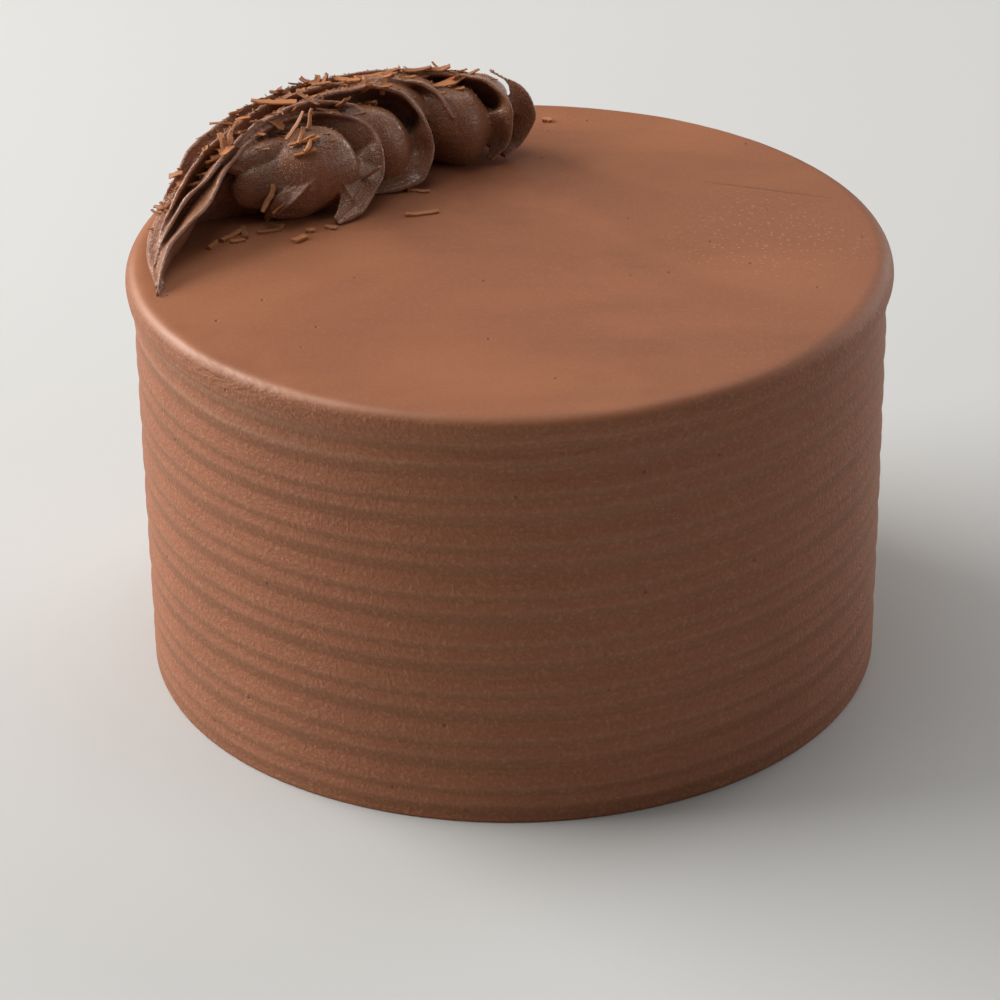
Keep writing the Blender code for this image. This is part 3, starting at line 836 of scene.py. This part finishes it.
def fin_rims(name, route):
    """Azimuth, height and place of a fin's rim along its route, with the hand's small wavers."""
    rims = []
    seed = 1.7 * len(name)
    for step in range(FIN_STEPS + 1):
        azimuth, radius, height = spline(route, step / FIN_STEPS)
        point = placed(azimuth, radius * MM, height * MM)
        waver = smooth(height / 4.0)
        point += Vector((
            0.45 * MM * waver * wander(*point, 7 * MM, seed),
            0.45 * MM * waver * wander(*point, 7 * MM, seed + 1.3),
            0.55 * MM * waver * wander(*point, 5 * MM, seed + 2.9),
        ))
        rims.append((azimuth, height, point))
    return rims


def fin_rows(name, rims, piping):
    """Rings of a fin's cross-section along its rim."""
    rows = []
    for step, (azimuth, level, rim) in enumerate(rims):
        ahead = rims[min(step + FIN_BLEND, FIN_STEPS)][2]
        behind = rims[max(step - FIN_BLEND, 0)][2]
        along = (ahead - behind).normalized()
        inside = min(max(azimuth, TAIL_AZIMUTH), END_AZIMUTH - HOOK_REACH)
        middle, _, core_height = core_size(inside)
        outward = rim - placed(inside, middle, 0.35 * core_height)
        outward = (outward - along * outward.dot(along)).normalized()
        across = outward.cross(along)
        share = step / FIN_STEPS
        height, base = fin_size(name, share, piping)
        lean = fin_lean(name, share, level)
        outward, across = (
            outward * math.cos(lean) + across * math.sin(lean),
            across * math.cos(lean) - outward * math.sin(lean),
        )
        row = []
        for side, up in fin_section(height, base, min(piping.fin_edge, 0.3 * base)):
            point = rim + across * side + outward * (up - height)
            point.z = max(point.z, GARLAND_LOW[2] - GAP)
            row.append(point)
        rows.append(row)
    return rows


def mark_rims(piece, rims):
    """Store each vertex's distance from the nearest rim, for drag lines and the painted highlight on the
    edge.
    """
    lines = [point for line in rims for _, _, point in line]
    tree = BVHTree.FromPolygons(lines, [(k, k + 1, k) for k in range(len(lines) - 1)])
    far = 25 * MM
    nearest = [tree.find_nearest(vertex.co, far)[3] for vertex in piece.data.vertices]
    reach = [far if distance is None else distance for distance in nearest]
    store(piece, "strand", reach)
    store(piece, "rim", [1.0 - smooth(distance / (0.95 * MM)) for distance in reach])


def roughened(point, normal):
    """The small unevenness of piped cream."""
    swell = 0.22 * MM * wander(*point, 6 * MM, 3.0)
    grain = 0.07 * MM * wander(*point, 1.4 * MM, 8.0)
    return point + normal * (swell + grain)


MOST_TRIANGLES = 195000
FOOT_HEIGHT = 1.6 * MM
FOOT_SINK = 0.6 * MM


def seated(point):
    """Press the foot of the piping into the icing, so that no light passes under it."""
    depth = smooth((CAKE_TOP + FOOT_HEIGHT - point.z) / FOOT_HEIGHT)
    return point - Vector((0.0, 0.0, FOOT_SINK * depth))


def drop_specks(piece):
    """Delete the specks that the voxel grid leaves apart from the rope."""
    shape = bmesh.new()
    shape.from_mesh(piece.data)
    left = set(shape.verts)
    islands = []
    while left:
        front = [left.pop()]
        island = list(front)
        while front:
            near = {edge.other_vert(vertex) for vertex in front for edge in vertex.link_edges}
            front = list(near & left)
            left.difference_update(front)
            island.extend(front)
        islands.append(island)
    islands.sort(key=len)
    specks = [vertex for island in islands[:-1] for vertex in island]
    bmesh.ops.delete(shape, geom=specks, context="VERTS")
    shape.to_mesh(piece.data)
    shape.free()


class CAKE_OT_pipe(bpy.types.Operator):
    """Pipe the garland: core, lobes and fins, melted together"""
    bl_idname = "cake.pipe"
    bl_label = "Piped garland"

    def execute(self, context):
        piping = context.scene.cake_piping
        shape = bmesh.new()
        add_loft(shape, core_rows())
        for knots in LOBES.values():
            add_loft(shape, lobe_rows(knots))
        rims = []
        for name, route in FIN_ROUTES.items():
            rims.append(fin_rims(name, route))
            add_loft(shape, fin_rows(name, rims[-1], piping))
        rope = new_piece("piped_rope", shape)
        apply_modifier(rope, "REMESH", mode="VOXEL", voxel_size=piping.grid)
        apply_modifier(rope, "SMOOTH", factor=0.5, iterations=2)
        mesh_data = rope.data
        normals = [vertex.normal.copy() for vertex in mesh_data.vertices]
        for vertex, normal in zip(mesh_data.vertices, normals):
            vertex.co = seated(roughened(vertex.co, normal))
        share = min(1.0, MOST_TRIANGLES / (2.0 * len(mesh_data.polygons)))
        apply_modifier(rope, "DECIMATE", ratio=share)
        drop_specks(rope)
        mark_rims(rope, rims)
        grasp(rope)
        bpy.ops.object.shade_smooth()
        dress(rope, piping_finish(piping), "dark_chocolate_piping", "piped_garland")
        return {"FINISHED"}


# Shavings and crumbs

CRUMBS = (
    (-23.4, 21.0, 9.0, 1.7, 12.0),
    (-24.5, 36.0, 6.0, 1.5, -8.0),
    (-64.0, 10.5, 6.5, 1.6, 20.0),
    (-61.0, 12.5, 3.0, 1.4, 80.0),
    (-55.5, 5.0, 4.6, 2.2, 50.0),
    (-53.0, 10.5, 2.6, 1.8, 10.0),
    (-47.5, 12.5, 3.2, 1.8, -15.0),
    (11.0, 84.7, 2.6, 1.8, 0.0),
    (-74.0, 7.5, 8.0, 1.8, 55.0),
    (-70.5, 9.5, 7.0, 1.5, 100.0),
    (-72.0, 4.5, 4.0, 1.6, 10.0),
    (-78.5, 2.0, 5.0, 1.5, 70.0),
)
CRUMB_THICKNESS = 1.1 * MM
HIGHEST_FLAKE = GARLAND_HIGH[2] - 0.1 * MM

# The big shavings: azimuth, radius, turn, rise, length, width, bend and shade of each
LAID_SHAVINGS = (
    (121, 73.5, 0, -3, 12.3, 2.1, 0.03, 1.0), (124, 70.5, -8, 2, 10.5, 1.8, 0.05, 0.4),
    (136, 71.5, 10, 68, 3.8, 2.8, 0.0, 0.25), (139, 66.0, -22, 4, 7.5, 1.7, 0.04, 0.9),
    (140, 62.0, 48, 30, 4.8, 1.5, 0.0, 0.7), (140, 59.5, -62, 42, 4.8, 2.0, 0.05, 0.8),
    (164, 60.5, 20, 12, 7.5, 2.8, 0.05, 1.0), (166, 61.0, -50, 40, 5.2, 2.1, 0.05, 0.8),
    (163, 64.5, 5, 5, 6.5, 2.0, 0.1, 0.6), (158, 65.5, 12, 3, 7.5, 1.6, 0.06, 0.5),
    (130, 58.5, -55, 36, 8.8, 1.9, 0.03, 0.6), (124, 45.0, -32, 40, 9.0, 1.5, 0.02, 0.3),
    (113, 58.0, 14, 10, 6.4, 1.1, 0.03, 1.0), (112, 59.5, 18, 14, 6.8, 1.0, 0.05, 0.9),
    (110, 57.5, 12, 12, 6.0, 1.2, 0.02, 0.8), (112, 57.0, 66, 25, 6.5, 0.9, 0.0, 1.0),
    (113, 60.0, 75, 30, 5.5, 0.9, 0.04, 0.9), (114, 62.0, 48, 42, 9.0, 0.9, 0.05, 0.7),
    (118, 60.0, 60, 62, 6.0, 0.8, 0.0, 0.6), (119, 66.0, -50, 38, 6.5, 0.8, 0.06, 0.5),
    (103, 77.5, 80, 75, 5.0, 1.5, 0.05, 0.7), (104, 76.0, 60, 66, 4.6, 1.4, 0.0, 0.6),
    (99, 84.0, -4, 12, 5.2, 1.2, 0.03, 0.6), (101, 83.0, -38, 20, 5.0, 1.1, 0.06, 0.7),
    (106, 82.0, -25, 18, 3.0, 0.9, 0.0, 0.8), (105, 79.0, 30, 10, 6.6, 1.5, 0.04, 0.9),
    (106, 77.5, 24, 16, 5.6, 1.2, 0.08, 1.0), (104, 80.0, 38, 6, 6.8, 1.1, 0.02, 0.8),
    (107, 78.0, 42, 20, 5.0, 1.0, 0.05, 0.9), (102, 76.0, 45, 18, 4.4, 1.6, 0.0, 0.9),
    (98, 64.5, 55, 50, 8.0, 1.2, 0.08, 0.6), (101, 62.5, 40, 35, 5.0, 1.0, 0.05, 0.8),
    (145, 58.5, 70, 60, 4.8, 1.1, 0.0, 0.7), (144, 57.0, 8, 6, 4.6, 0.9, 0.04, 0.8),
    (140, 58.0, -30, 20, 3.8, 1.0, 0.0, 0.6), (160, 58.5, -12, 5, 4.2, 1.2, 0.03, 0.6),
    (161, 55.0, -40, 20, 3.0, 0.9, 0.0, 0.7), (167, 58.0, 4, 8, 2.6, 1.2, 0.0, 0.9),
    (131, 72.0, 16, 8, 6.0, 1.4, 0.05, 0.9), (133, 69.0, -15, 12, 5.5, 1.3, 0.02, 0.6),
    (146, 67.0, 8, 4, 6.5, 1.4, 0.04, 0.7), (150, 65.0, -18, 10, 5.0, 1.5, 0.06, 0.5),
    (152, 68.0, 20, 8, 5.5, 1.2, 0.02, 0.6), (128, 68.0, 24, 14, 5.0, 1.2, 0.0, 0.9),
    (116, 75.0, 14, 10, 6.0, 1.3, 0.05, 0.6), (111, 76.0, 32, 14, 6.5, 1.2, 0.03, 0.8),
)


def surface_tree(piece):
    mesh_data = piece.data
    return BVHTree.FromPolygons(
        [vertex.co for vertex in mesh_data.vertices], [face.vertices for face in mesh_data.polygons]
    )


def flake_place(spot, normal, heading):
    """Matrix that lays a flake on a surface with a heading about its normal."""
    upright = normal.to_track_quat("Z", "Y").to_matrix().to_4x4()
    return Matrix.Translation(spot) @ upright @ Matrix.Rotation(heading, 4, "Z")


def flake_rows(place, length, width, thickness, bend, draw, steps=8):
    """Rings of a ragged flake that bends and twists along its length and curls across it."""
    rows = []
    curl = draw.uniform(-0.20, 0.35)
    twist = draw.uniform(-0.5, 0.5)
    sway = draw.uniform(-0.05, 0.05) * length
    ragged = [draw.uniform(0.68, 1.0) for _ in range(2 * (steps + 1))]
    for step in range(steps + 1):
        share = step / steps - 0.5
        lift = bend * length * (4.0 * share * share)
        side = sway * math.sin(2.0 * math.pi * share)
        half = 0.5 * width * (1.0 - 0.8 * share * share)
        turn = twist * share
        left = -half * ragged[step]
        right = half * ragged[step + steps + 1]
        rim = 0.28 * thickness
        middle = 0.5 * thickness
        ring = ((left, -rim), (0.0, -middle), (right, -rim), (right, rim), (0.0, middle), (left, rim))
        row = []
        for y, z in ring:
            z += curl * y * y / max(half, 0.1 * MM)
            across = y * math.cos(turn) - z * math.sin(turn)
            up = y * math.sin(turn) + z * math.cos(turn)
            row.append(place @ Vector((share * length, side + across, lift + up)))
        rows.append(row)
    return rows


def leaning_place(spot, turn, rise, lift):
    """Matrix of a flake whose length points along turn and rise and whose low end touches a spot."""
    along = Vector((math.cos(turn) * math.cos(rise), math.sin(turn) * math.cos(rise), math.sin(rise)))
    across = Vector((-math.sin(turn), math.cos(turn), 0.0))
    frame_turn = Matrix((along, across, along.cross(across))).transposed().to_4x4()
    return Matrix.Translation(spot + Vector((0, 0, lift * math.sin(abs(rise))))) @ frame_turn


def strew(shape, shades, rows, shade):
    """Add one flake, pressed down where it would stand above the part's box, and note its shade."""
    over = max(point.z for row in rows for point in row) - HIGHEST_FLAKE
    if over > 0.0:
        rows = [[point - Vector((0, 0, over)) for point in row] for row in rows]
    before = len(shape.verts)
    add_loft(shape, rows)
    shades.extend([shade] * (len(shape.verts) - before))


def flakes_piece(name, shape, shades, material):
    piece = new_piece(name, shape)
    store(piece, "shade", shades)
    dress(piece, material, "chocolate_shaving")
    return piece


class CAKE_OT_shave(bpy.types.Operator):
    """Lay the big shavings on the garland and strew smaller ones round them"""
    bl_idname = "cake.shave"
    bl_label = "Shavings on the garland"

    def execute(self, context):
        rule = context.scene.cake_shavings
        tree = surface_tree(bpy.data.objects["piped_rope"])
        draw = random.Random(rule.seed)
        ragged = random.Random(rule.seed + 1)
        shape, shades = bmesh.new(), []
        for azimuth, out, turn, rise, length, width, bend, shade in LAID_SHAVINGS:
            spot, _, _, _ = tree.ray_cast(placed(azimuth, out * MM, 60 * MM), Vector((0, 0, -1)))
            if spot is None:
                spot, _, _, _ = tree.find_nearest(placed(azimuth, out * MM, 4 * MM))
            place = leaning_place(spot, math.radians(turn), math.radians(rise), 0.5 * length * MM)
            rows = flake_rows(place, length * MM, 1.55 * width * MM, 1.5 * rule.thickness, bend, ragged)
            strew(shape, shades, rows, shade)
        laid = 0
        while laid < rule.count:
            azimuth = draw.uniform(95.0, 172.0)
            radius, half_width, _ = core_size(azimuth)
            out = radius + half_width * draw.triangular(-0.8, 1.1, 0.25)
            heading = draw.uniform(0.0, math.pi)
            length = draw.triangular(3.0 * MM, 10.0 * MM, 4.0 * MM)
            width = draw.uniform(0.8 * MM, 2.5 * MM)
            bend = draw.uniform(-0.09, 0.09)
            lean = Vector((draw.uniform(-0.6, 0.6), draw.uniform(-0.6, 0.6), 1.0))
            spot, normal, _, _ = tree.ray_cast(placed(azimuth, out, 60 * MM), Vector((0, 0, -1)))
            if spot is None or spot.z < CAKE_TOP + 4 * MM:
                continue
            place = flake_place(spot, (normal + lean).normalized(), heading)
            rows = flake_rows(place, length, width, rule.thickness, bend, ragged)
            strew(shape, shades, rows, ragged.uniform(0.2, 1.0))
            laid += 1
        flakes_piece("garland_shavings", shape, shades, shaving_finish(rule))
        return {"FINISHED"}


class CAKE_OT_dust(bpy.types.Operator):
    """Sprinkle the smallest flakes over the garland"""
    bl_idname = "cake.dust"
    bl_label = "Fine flakes"

    def execute(self, context):
        rule = context.scene.cake_shavings
        tree = surface_tree(bpy.data.objects["piped_rope"])
        draw = random.Random(rule.seed + 7)
        shape, shades = bmesh.new(), []
        laid = 0
        while laid < rule.dust_count:
            azimuth = draw.triangular(90.0, 180.0, 122.0)
            radius, half_width, _ = core_size(azimuth)
            out = radius + half_width * draw.triangular(-1.2, 1.2, 0.2)
            spot, normal, _, _ = tree.ray_cast(placed(azimuth, out, 60 * MM), Vector((0, 0, -1)))
            heading = draw.uniform(0.0, math.pi)
            length = draw.triangular(0.5 * MM, 3.4 * MM, 0.8 * MM)
            width = draw.uniform(0.25 * MM, 0.7 * MM)
            lean = Vector((draw.uniform(-0.9, 0.9), draw.uniform(-0.9, 0.9), 1.0))
            if spot is None or normal.z < 0.1 or wander(*spot, 8 * MM, 15.0) < draw.uniform(-0.5, 0.45):
                continue
            place = flake_place(spot, (normal + lean).normalized(), heading)
            rows = flake_rows(place, length, width, 0.25 * MM, 0.05, draw, steps=2)
            strew(shape, shades, rows, draw.uniform(0.3, 1.0))
            laid += 1
        flakes_piece("fine_flakes", shape, shades, bpy.data.materials["chocolate_shaving"])
        return {"FINISHED"}


class CAKE_OT_crumble(bpy.types.Operator):
    """Lay the fallen crumbs on the cake's top"""
    bl_idname = "cake.crumble"
    bl_label = "Crumbs on the top"

    def execute(self, context):
        draw = random.Random(context.scene.cake_shavings.seed + 3)
        shape, shades = bmesh.new(), []
        for x, y, length, width, heading in CRUMBS:
            spot = Vector((x * MM, y * MM, CAKE_TOP + 0.1 * MM))
            place = flake_place(spot, Vector((0, 0, 1)), math.radians(heading))
            rows = flake_rows(place, length * MM, 1.3 * width * MM, CRUMB_THICKNESS, 0.02, draw)
            strew(shape, shades, rows, draw.uniform(0.4, 1.0))
        flakes_piece("fallen_crumbs", shape, shades, bpy.data.materials["chocolate_shaving"])
        return {"FINISHED"}


# Stage

CAMERA_DISTANCE = 1.0649
CAMERA_ELEVATION = math.radians(28.13)
CAMERA_ROLL = math.radians(0.68)
CAMERA_LENS = 140.4
CAMERA_TARGET = Vector((0.0, 0.0, 0.0407))
CAMERA_SHIFT = -0.0125
SKY_STRENGTH = 0.065
LIT_MIDDLE = (0.0, 0.0, 0.08)

# Softboxes: name, place, target, size in metres, power in watts and colour
SOFTBOXES = (
    ("window", (-1.60, 0.45, 0.95), LIT_MIDDLE, (1.7, 1.3), 58.0, (1.0, 0.985, 0.96)),
    ("skylight", (-0.20, 0.10, 1.60), LIT_MIDDLE, (1.2, 1.0), 7.0, (1.0, 0.99, 0.97)),
    ("left_light", (-1.45, -0.70, 0.62), LIT_MIDDLE, (0.35, 0.30), 1.3, (1.0, 0.98, 0.95)),
    ("right_light", (1.40, -0.40, 0.60), LIT_MIDDLE, (0.9, 0.7), 3.3, (1.0, 0.99, 0.98)),
    ("back_light", (0.7, 1.2, 1.35), LIT_MIDDLE, (1.3, 0.8), 5.0, (1.0, 0.99, 0.97)),
    ("side_light", (1.35, 1.25, 0.35), LIT_MIDDLE, (0.9, 0.9), 12.0, (1.0, 0.99, 0.98)),
    ("low_fill", (-0.75, -0.50, 0.06), (-0.07, -0.05, 0.02), (0.3, 0.08), 0.4, (1.0, 0.72, 0.34)),
)


def aimed(item, target):
    """Turn a light or a camera towards a point."""
    item.rotation_euler = (Vector(target) - item.location).to_track_quat("-Z", "Y").to_euler()


def add_camera():
    lens = bpy.data.cameras.new("camera")
    lens.lens = CAMERA_LENS
    lens.sensor_width = 36.0
    lens.shift_x = CAMERA_SHIFT
    camera = bpy.data.objects.new("camera", lens)
    bpy.context.scene.collection.objects.link(camera)
    back = Vector((0.0, -math.cos(CAMERA_ELEVATION), math.sin(CAMERA_ELEVATION)))
    up = Vector((0.0, math.sin(CAMERA_ELEVATION), math.cos(CAMERA_ELEVATION)))
    right = Vector((1.0, 0.0, 0.0))
    rolled_right = right * math.cos(CAMERA_ROLL) - up * math.sin(CAMERA_ROLL)
    rolled_up = up * math.cos(CAMERA_ROLL) + right * math.sin(CAMERA_ROLL)
    turn = Matrix((rolled_right, rolled_up, back)).transposed().to_4x4()
    camera.matrix_world = Matrix.Translation(CAMERA_TARGET + back * CAMERA_DISTANCE) @ turn
    bpy.context.scene.camera = camera


def add_softbox(name, place, target, size, power, colour):
    box = bpy.data.lights.new(name, "AREA")
    box.shape = "RECTANGLE"
    box.size, box.size_y = size
    box.energy = power
    box.color = colour
    light = bpy.data.objects.new(name, box)
    bpy.context.scene.collection.objects.link(light)
    light.location = place
    aimed(light, target)


class CAKE_OT_stage(bpy.types.Operator):
    """Set the floor, the lights and the camera"""
    bl_idname = "cake.stage"
    bl_label = "Studio"

    def execute(self, context):
        deselect()
        bpy.ops.mesh.primitive_plane_add(size=8.0, location=(0.0, 0.0, 0.0))
        floor = bpy.context.object
        floor.name = "floor"
        bpy.ops.object.mode_set(mode="EDIT")
        bpy.ops.mesh.subdivide(number_cuts=6)
        bpy.ops.object.mode_set(mode="OBJECT")
        floor.data.materials.append(floor_finish())
        world = bpy.data.worlds.new("studio")
        context.scene.world = world
        world.use_nodes = True
        sky = world.node_tree.nodes["Background"]
        sky.inputs["Color"].default_value = (0.95, 0.97, 1.0, 1.0)
        sky.inputs["Strength"].default_value = SKY_STRENGTH
        for softbox in SOFTBOXES:
            add_softbox(*softbox)
        context.scene.view_settings.view_transform = "Standard"
        add_camera()
        return {"FINISHED"}


class CAKE_PT_panel(bpy.types.Panel):
    """Lists the cake's pieces"""
    bl_idname = "CAKE_PT_panel"
    bl_label = "Chocolate layer cake"
    bl_space_type = "VIEW_3D"
    bl_region_type = "UI"
    bl_category = "Cake"

    def draw(self, context):
        for operator in OPERATORS:
            self.layout.operator(operator.bl_idname)
        for name, group in GROUPS.items():
            box = self.layout.box()
            for key in group.__annotations__:
                box.prop(getattr(context.scene, name), key)


GROUPS = {
    "cake_icing": CakeIcingSettings,
    "cake_piping": CakePipingSettings,
    "cake_shavings": CakeShavingSettings,
}
OPERATORS = (CAKE_OT_ice, CAKE_OT_pipe, CAKE_OT_shave, CAKE_OT_dust, CAKE_OT_crumble, CAKE_OT_stage)


def register():
    for item in (*GROUPS.values(), *OPERATORS, CAKE_PT_panel):
        bpy.utils.register_class(item)
    for name, group in GROUPS.items():
        setattr(bpy.types.Scene, name, PointerProperty(type=group))


def unregister():
    for name in GROUPS:
        delattr(bpy.types.Scene, name)
    for item in reversed((*GROUPS.values(), *OPERATORS, CAKE_PT_panel)):
        bpy.utils.unregister_class(item)


def main():
    register()
    bpy.ops.cake.ice()
    bpy.ops.cake.pipe()
    bpy.ops.cake.shave()
    bpy.ops.cake.dust()
    bpy.ops.cake.crumble()
    bpy.ops.cake.stage()


if __name__ == "__main__":
    main()
